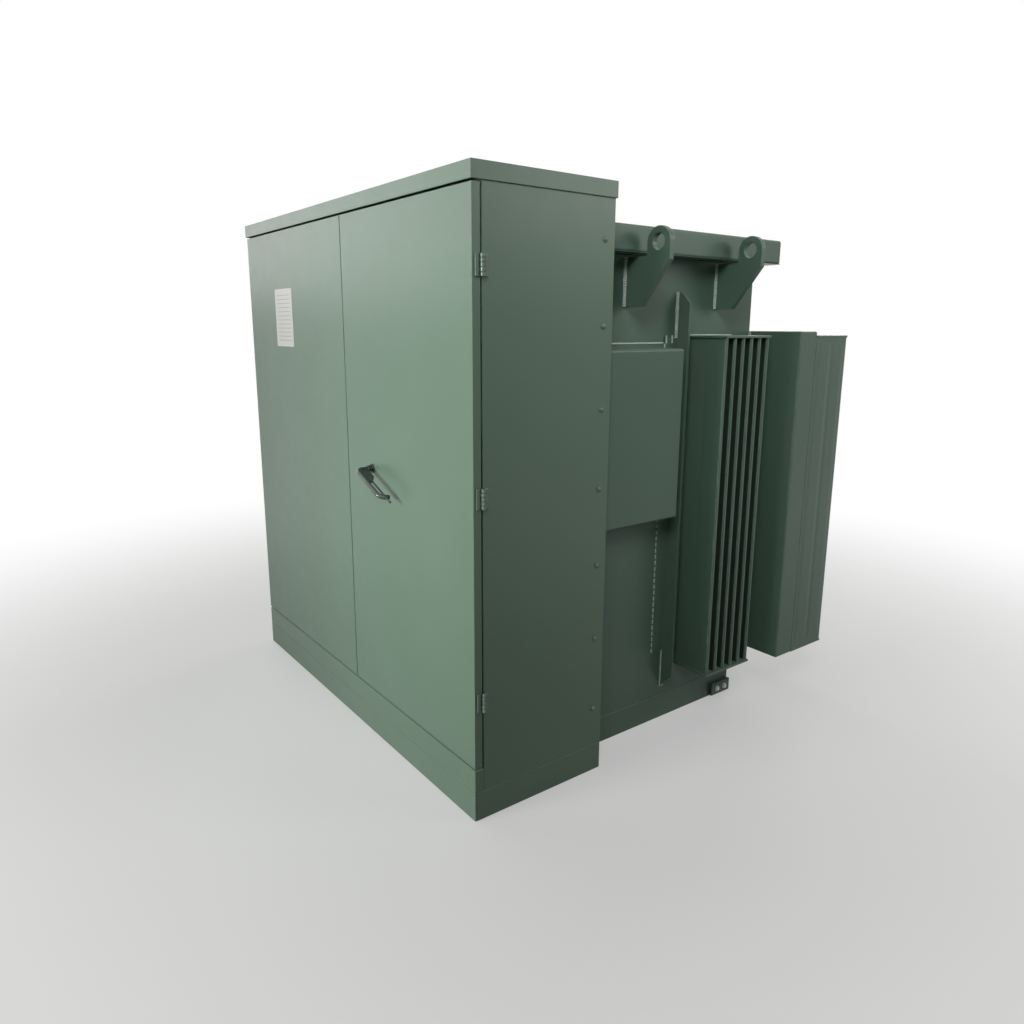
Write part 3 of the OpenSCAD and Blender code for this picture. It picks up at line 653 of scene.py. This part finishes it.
class TRANSFORMER_OT_handle(bpy.types.Operator):
    """Finishes the handle, its boss, the lock rod and the latch"""

    bl_idname = "transformer.handle"
    bl_label = "Handle"

    def execute(self, context):
        dress(HANDLE_NODES + ("latch_cam",), sizes().handle_radius)
        return {"FINISHED"}


class TRANSFORMER_OT_tank(bpy.types.Operator):
    """Finishes the welded tank, its lugs, stiffeners and accessory box"""

    bl_idname = "transformer.tank"
    bl_label = "Tank"

    def execute(self, context):
        dress(WELDED_PLATE + LIFTING_GEAR, sizes().plate_radius)
        dress(GROOVED_PLATE, sizes().groove_radius)
        dress(("tank_cover",), sizes().cover_radius, steps=4)
        dress(("accessory_box", "ground_pads"), sizes().plate_radius)
        return {"FINISHED"}


def mark_depth(piece, out, first, last):
    """Stores how deep each spot lies behind the outer edges of the fins, for the painted shade between
    them; the two end faces get none.
    """
    unshaded_strip, fade = 4 * MM, 7 * MM
    across = 1 - out
    reach = [abs(vertex.co[out]) for vertex in piece.data.vertices]
    edge = max(reach)
    shares = []
    for vertex, far in zip(piece.data.vertices, reach):
        between = first < vertex.co[across] < last
        shares.append(min(1.0, max(0.0, edge - far - unshaded_strip) / fade) if between else 0.0)
    piece.data.attributes.new("deep", "FLOAT", "POINT").data.foreach_set("value", shares)


class TRANSFORMER_OT_coolers(bpy.types.Operator):
    """Makes the pressed fins and finishes the oil box and the bars that close the fins"""

    bl_idname = "transformer.coolers"
    bl_label = "Coolers"

    def execute(self, context):
        size = sizes()
        dress(COOLER_BARS, size.plate_radius)
        dress(("oil_box",), size.box_radius, steps=3)
        tree = fin_tree(finish("fin_enamel"), finish("edge_enamel"))
        channels, end_gap = 2.0, 20 * MM
        half = size.channel_thickness / 2
        for node, (out, way, count) in FINS.items():
            low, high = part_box(node)
            across = 1 - out
            first, last = low[across] + half, high[across] - half
            facing = Vector((0.0, 0.0, 0.0))
            facing[out] = way
            places = []
            for i in range(count):
                spot = Vector((0.0, 0.0, low.z))
                spot[out] = low[out] if way > 0 else high[out]
                spot[across] = first + (last - first) * i / (count - 1)
                places.append((spot, facing))
            piece = grow(node + "_pressed", point_mesh(node, places), tree, {
                "Width": high[out] - low[out], "Height": high.z - low.z, "Edge roll": size.edge_roll,
                "Seam thickness": size.seam_thickness, "Channel thickness": size.channel_thickness,
                "Seam width": size.seam_width, "Channels": channels, "End gap": end_gap},
                "enclosure")
            mark_depth(piece, out, first, last)
            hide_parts(node)
        return {"FINISHED"}


def weld_lines():
    """Ends of the full beads on the two tank walls."""
    lines = []
    lug_low, lug_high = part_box("right_lifting_lugs")
    lug_thick = 20 * MM
    rib_low, rib_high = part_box("right_stiffener")
    web = rib_high.y - RIB_THICK
    oil_low, oil_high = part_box("oil_box")
    for side in (-1, 1):
        x = side * WALL
        for y in (lug_low.y, lug_low.y + lug_thick, lug_high.y - lug_thick, lug_high.y):
            lines.append(((x, y, lug_low.z), (x, y, FLANGE_LOW)))
        lines.append(((x, rib_high.y, rib_low.z), (x, rib_high.y, rib_high.z)))
        lines.append(((x, web, STRIP_TOP), (x, web, rib_high.z)))
        lines.append(((x, oil_low.y, oil_low.z), (x, oil_low.y, oil_high.z)))
    return lines


def stitch_lines():
    """Ends of the thin welds: short stitches beside the stiffeners and round the accessory box."""
    lines = []
    rib_low, rib_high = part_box("right_stiffener")
    web = rib_high.y - RIB_THICK
    fin_low, fin_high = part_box("right_fin_caps")
    stitch, gap = 15 * MM, 8 * MM
    for side in (-1, 1):
        x = side * WALL
        for i in range(int((STRIP_TOP - STRIP_LOW) / (stitch + gap))):
            start = STRIP_LOW + i * (stitch + gap)
            lines.append(((x, rib_low.y, start), (x, rib_low.y, start + stitch)))
        lines.append(((x, web, rib_low.z), (x, web, STRIP_LOW)))
        for z in (fin_low.z, fin_high.z):
            lines.append(((x, fin_low.y, z), (x, fin_high.y, z)))
    box_low, box_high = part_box("accessory_box")
    corners = [
        (WALL, box_low.y, box_high.z), (WALL, box_low.y, box_low.z),
        (WALL, box_high.y, box_low.z), (WALL, box_high.y, box_high.z)]
    lines.extend(zip(corners, corners[1:]))
    # The accessory box hangs on a bar that is welded to the wall above it, with two upright runs at its end
    bar_lift, bar_start, bar_end, upright, apart = 16 * MM, 10 * MM, 2 * MM, 26 * MM, 30 * MM
    bar_z = box_high.z + bar_lift
    lines.append(((WALL, box_low.y + bar_start, bar_z), (WALL, box_high.y - bar_end, bar_z)))
    for y in (rib_low.y, rib_low.y + apart):
        lines.append(((WALL + STRIP_THICK, y, bar_z), (WALL + STRIP_THICK, y, bar_z + upright)))
    return lines


class TRANSFORMER_OT_welds(bpy.types.Operator):
    """Lays the weld beads on the tank"""

    bl_idname = "transformer.welds"
    bl_label = "Welds"

    def execute(self, context):
        size = sizes()
        tree = weld_tree(finish("weld_enamel"))
        ripple_share, step = 0.16, 2.7 * MM
        for name, lines, radius in (
                ("weld_beads", weld_lines(), size.bead_radius),
                ("stitch_welds", stitch_lines(), size.stitch_radius)):
            grow(name, line_mesh(name, lines), tree, {
                "Bead radius": radius, "Ripple pitch": size.ripple_pitch, "Ripple depth": ripple_share,
                "Step": step}, "enclosure")
        return {"FINISHED"}


def ring_places(centre, radius, count, way):
    """Places evenly round a flange that faces along Y."""
    places = []
    for i in range(count):
        angle = math.tau * (i + 0.5) / count
        spot = centre + Vector((radius * math.cos(angle), 0.0, radius * math.sin(angle)))
        places.append((spot, way))
    return places


class TRANSFORMER_OT_bolts(bpy.types.Operator):
    """Sets the dome bolts of the cabinet sides and the hex bolts of the pads and bushings"""

    bl_idname = "transformer.bolts"
    bl_label = "Bolts"

    def execute(self, context):
        size = sizes()
        rows, low_z, high_z, back = 7, 0.230, 1.734, 0.475
        domes = []
        for side in (-1, 1):
            for i in range(rows):
                z = low_z + (high_z - low_z) * i / (rows - 1)
                domes.append(((side * CABINET_SIDE, DOOR_FACE + back, z), (side, 0.0, 0.0)))
        tree = dome_tree(finish("hinge_enamel"))
        grow("cabinet_dome_bolts", point_mesh("dome_places", domes), tree, {
            "Head radius": size.dome_radius, "Head height": size.dome_height}, "enclosure")
        pad_low, pad_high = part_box("ground_pads")
        pitch = 44.5 * MM
        pads = []
        for side, face in ((-1, pad_low.x), (1, pad_high.x)):
            for step in (-0.5, 0.5):
                y = (pad_low.y + pad_high.y) / 2 + step * pitch
                pads.append(((face, y, (pad_low.z + pad_high.z) / 2), (side, 0.0, 0.0)))
        tree = hex_tree(finish("bare_steel"))
        grow("ground_pad_bolts", point_mesh("pad_places", pads), tree, {
            "Head radius": size.hex_radius}, "enclosure")
        inset, ring_count, size_share = 8 * MM, 6, 0.72
        flange = []
        for node, count, flange_thick in (("hv_bushings", 3, 14 * MM), ("lv_bushings", 4, 12 * MM)):
            low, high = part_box(node)
            radius = (high.z - low.z) / 2
            for i in range(count):
                x = low.x + radius + (high.x - low.x - 2 * radius) * i / (count - 1)
                centre = Vector((x, high.y - flange_thick, (low.z + high.z) / 2))
                flange.extend(ring_places(centre, radius - inset, ring_count, (0.0, -1.0, 0.0)))
        grow("bushing_flange_bolts", point_mesh("flange_places", flange), tree, {
            "Head radius": size_share * size.hex_radius}, "enclosure")
        return {"FINISHED"}


class TRANSFORMER_OT_terminals(bpy.types.Operator):
    """Finishes the bushings, studs and spades behind the doors"""

    bl_idname = "transformer.terminals"
    bl_label = "Terminals"

    def execute(self, context):
        dress(("hv_bushings", "lv_bushings"), sizes().plate_radius, steps=3)
        dress(("hv_studs", "lv_spades"), sizes().handle_radius)
        return {"FINISHED"}


class TRANSFORMER_OT_card(bpy.types.Operator):
    """Lays the blank ruled card on the left door"""

    bl_idname = "transformer.card"
    bl_label = "Card"

    def execute(self, context):
        size = sizes()
        paint = context.scene.transformer_paint
        from_right, low_z, thick, corner, arc = 1.44, 1.40, 0.8 * MM, 6 * MM, 6
        low = Vector((CABINET_SIDE - from_right, DOOR_FACE - thick, low_z))
        high = low + Vector((size.card_width, thick, size.card_height))
        shape = bmesh.new()
        rim = []
        for k, (x, z) in enumerate(((high.x, high.z), (low.x, high.z), (low.x, low.z), (high.x, low.z))):
            inward_x = -corner if k in (0, 3) else corner
            inward_z = -corner if k in (0, 1) else corner
            for i in range(arc + 1):
                angle = math.pi / 2 * (k + i / arc)
                round_x, round_z = corner * math.cos(angle), corner * math.sin(angle)
                rim.append(shape.verts.new((x + inward_x + round_x, high.y, z + inward_z + round_z)))
        back = shape.faces.new(rim)
        front = bmesh.ops.extrude_face_region(shape, geom=[back])["geom"]
        for item in front:
            if isinstance(item, bmesh.types.BMVert):
                item.co.y = low.y
        bmesh.ops.recalc_face_normals(shape, faces=shape.faces)
        mesh = bpy.data.meshes.new("ruled_card")
        shape.to_mesh(mesh)
        shape.free()
        mesh.materials.append(ruled_card("laminated_card", paint.card_white, paint.rule_grey, low, high))
        card = new_piece("door_card", mesh)
        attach(card, "left_door")
        return {"FINISHED"}


def soft_light(name, place, aim, width, height, power, spread):
    """A large area light that looks at a point, with its beam narrowed to an angle."""
    lamp = bpy.data.lights.new(name, "AREA")
    lamp.shape = "RECTANGLE"
    lamp.size = width
    lamp.size_y = height
    lamp.energy = power
    lamp.spread = math.radians(spread)
    holder = new_piece(name, lamp)
    look = (Vector(aim) - Vector(place)).to_track_quat("-Z", "Y")
    holder.matrix_world = Matrix.Translation(Vector(place)) @ look.to_matrix().to_4x4()


def shown_to(tree):
    """One for the rays that show the background: to the eye, in a reflection or through glass."""
    path = add(tree, "ShaderNodeLightPath")
    mirrored = add(tree, "ShaderNodeMath", {
        0: path.outputs["Is Camera Ray"], 1: path.outputs["Is Glossy Ray"]}, operation="MAXIMUM")
    shown = add(tree, "ShaderNodeMath", {
        0: mirrored.outputs[0], 1: path.outputs["Is Transmission Ray"]}, operation="MAXIMUM")
    return shown.outputs[0]


def studio_floor(colour):
    """Pale floor with the object's real shadow near it and a painted darker pool round it, fading to the
    white surround.
    """
    side, below = 60.0, 0.5 * MM
    bounce_share, glow_share, near, far = 0.25, 0.36, 1.2, 4.2
    bpy.ops.mesh.primitive_grid_add(x_subdivisions=8, y_subdivisions=8, size=side)
    floor = bpy.context.object
    floor.name = "studio_floor"
    floor.location.z = -below
    material, tree, shader, place = new_finish("studio_paper")
    shown = shown_to(tree)
    # Little light bounces back to the object
    paper = add(tree, "ShaderNodeMix", {
        0: shown, 6: tinted(colour, bounce_share), 7: colour}, data_type="RGBA")
    tree.links.new(paper.outputs[2], shader.inputs["Base Color"])
    shader.inputs["Roughness"].default_value = 0.8
    # Less white glow near the object paints a darker pool round it, in which its real shadow also shows
    away = add(tree, "ShaderNodeVectorMath", {0: place}, operation="LENGTH")
    fade = add(tree, "ShaderNodeMapRange", {
        "Value": away.outputs["Value"], "From Min": near, "From Max": far, "To Min": glow_share},
        interpolation_type="SMOOTHSTEP")
    white = add(tree, "ShaderNodeEmission", {"Strength": 1.0})
    share = add(tree, "ShaderNodeMath", {0: fade.outputs[0], 1: shown}, operation="MULTIPLY")
    mix = add(tree, "ShaderNodeMixShader", {
        0: share.outputs[0], 1: shader.outputs[0], 2: white.outputs[0]})
    tree.links.new(mix.outputs[0], tree.nodes["Material Output"].inputs["Surface"])
    floor.data.materials.append(material)


def white_surround(strength):
    """World that lights weakly from all round and looks white to the camera."""
    world = bpy.data.worlds.new("studio_surround")
    bpy.context.scene.world = world
    world.use_nodes = True
    tree = world.node_tree
    tree.nodes.clear()
    level = add(tree, "ShaderNodeMapRange", {"Value": shown_to(tree), "To Min": strength, "To Max": 1.0})
    surround = add(tree, "ShaderNodeBackground", {
        "Color": (1.0, 1.0, 1.0, 1.0), "Strength": level.outputs[0]})
    add(tree, "ShaderNodeOutputWorld", {"Surface": surround.outputs[0]})


def photo_camera():
    """Camera where the viewer stood: off the right front corner, at standing eye height."""
    from_corner = Vector((1.7358, -1.1669, 1.4799))
    yaw, pitch, roll = math.radians(53.147), math.radians(12.075), math.radians(0.227)
    image_side, focal_pixels, middle_row = 1024, 769.78, 491.81
    ahead = Vector((-math.sin(yaw) * math.cos(pitch), math.cos(yaw) * math.cos(pitch), -math.sin(pitch)))
    right = Vector((math.cos(yaw), math.sin(yaw), 0.0))
    up = right.cross(ahead)
    turned_right = math.cos(roll) * right + math.sin(roll) * up
    turned_up = math.cos(roll) * up - math.sin(roll) * right
    camera = bpy.data.cameras.new("photo_camera")
    camera.sensor_width = 36.0
    camera.sensor_fit = "HORIZONTAL"
    camera.lens = focal_pixels / image_side * camera.sensor_width
    camera.shift_y = middle_row / image_side - 0.5
    holder = new_piece("photo_camera", camera)
    turn = Matrix((turned_right, turned_up, -ahead)).transposed()
    corner = Vector((CABINET_SIDE, DOOR_FACE, 0.0))
    holder.matrix_world = Matrix.Translation(corner + from_corner) @ turn.to_4x4()
    bpy.context.scene.camera = holder


class TRANSFORMER_OT_stage(bpy.types.Operator):
    """Sets the floor, the lights and the camera"""

    bl_idname = "transformer.stage"
    bl_label = "Stage"

    def execute(self, context):
        stage = context.scene.transformer_stage
        studio_floor(stage.floor_white)
        white_surround(stage.sky_strength)
        side_sheen = 0.36 * stage.sheen_power
        # Name, place, what it looks at, width, height, power and beam angle of each light
        for light in (
                ("front_light", (-0.2, -6.0, 1.6), (0.6, -0.8, 0.95), 2.0, 2.0, stage.key_power, 42),
                ("top_light", (-0.5, 0.0, 5.0), (-0.5, 0.0, 0.9), 4.0, 4.0, stage.top_power, 120),
                ("side_light", (3.2, -2.6, 3.8), (0.9, 0.3, 1.6), 1.6, 1.6, stage.side_power, 46),
                ("front_sheen", (-5.3, -3.6, 3.0), (0.0, -0.8, 1.7), 4.0, 2.4, stage.sheen_power, 150),
                ("side_sheen", (4.4, 3.2, 3.4), (0.8, -0.2, 2.2), 2.4, 2.0, side_sheen, 90),
                ("rear_light", (-2.0, 6.5, 3.4), (0.0, 0.8, 1.4), 3.0, 2.4, stage.rear_power, 90),
                ("left_light", (-6.0, 0.5, 3.2), (-0.9, 0.2, 1.4), 3.0, 2.4, stage.rear_power, 90)):
            soft_light(*light)
        photo_camera()
        context.scene.view_settings.view_transform = "Standard"
        return {"FINISHED"}


OPERATORS = (
    TRANSFORMER_OT_stage, TRANSFORMER_OT_cabinet, TRANSFORMER_OT_doors, TRANSFORMER_OT_handle,
    TRANSFORMER_OT_tank, TRANSFORMER_OT_coolers, TRANSFORMER_OT_welds, TRANSFORMER_OT_bolts,
    TRANSFORMER_OT_terminals, TRANSFORMER_OT_card,
)


class TRANSFORMER_PT_sidebar(bpy.types.Panel):
    """Lists the pieces of the transformer and their settings"""

    bl_idname = "TRANSFORMER_PT_sidebar"
    bl_label = "Transformer"
    bl_space_type = "VIEW_3D"
    bl_region_type = "UI"
    bl_category = "Transformer"

    def draw(self, context):
        for operator in OPERATORS:
            self.layout.operator(operator.bl_idname)
        for group in (context.scene.transformer_paint, context.scene.transformer_sizes,
                      context.scene.transformer_stage):
            for name in group.bl_rna.properties.keys():
                if name not in {"rna_type", "name"}:
                    self.layout.prop(group, name)


GROUPS = {
    "transformer_paint": TransformerPaint, "transformer_sizes": TransformerSizes,
    "transformer_stage": TransformerStage,
}


def register():
    """Adds the settings, the operators and the sidebar panel."""
    for name, group in GROUPS.items():
        bpy.utils.register_class(group)
        setattr(bpy.types.Scene, name, bpy.props.PointerProperty(type=group))
    for kind in OPERATORS + (TRANSFORMER_PT_sidebar,):
        bpy.utils.register_class(kind)


def unregister():
    """Takes away what register added."""
    for kind in (TRANSFORMER_PT_sidebar,) + OPERATORS[::-1]:
        bpy.utils.unregister_class(kind)
    for name, group in GROUPS.items():
        delattr(bpy.types.Scene, name)
        bpy.utils.unregister_class(group)


def main():
    """Builds every piece."""
    register()
    for operator in OPERATORS:
        family, name = operator.bl_idname.split(".")
        getattr(getattr(bpy.ops, family), name)()


if __name__ == "__main__":
    main()
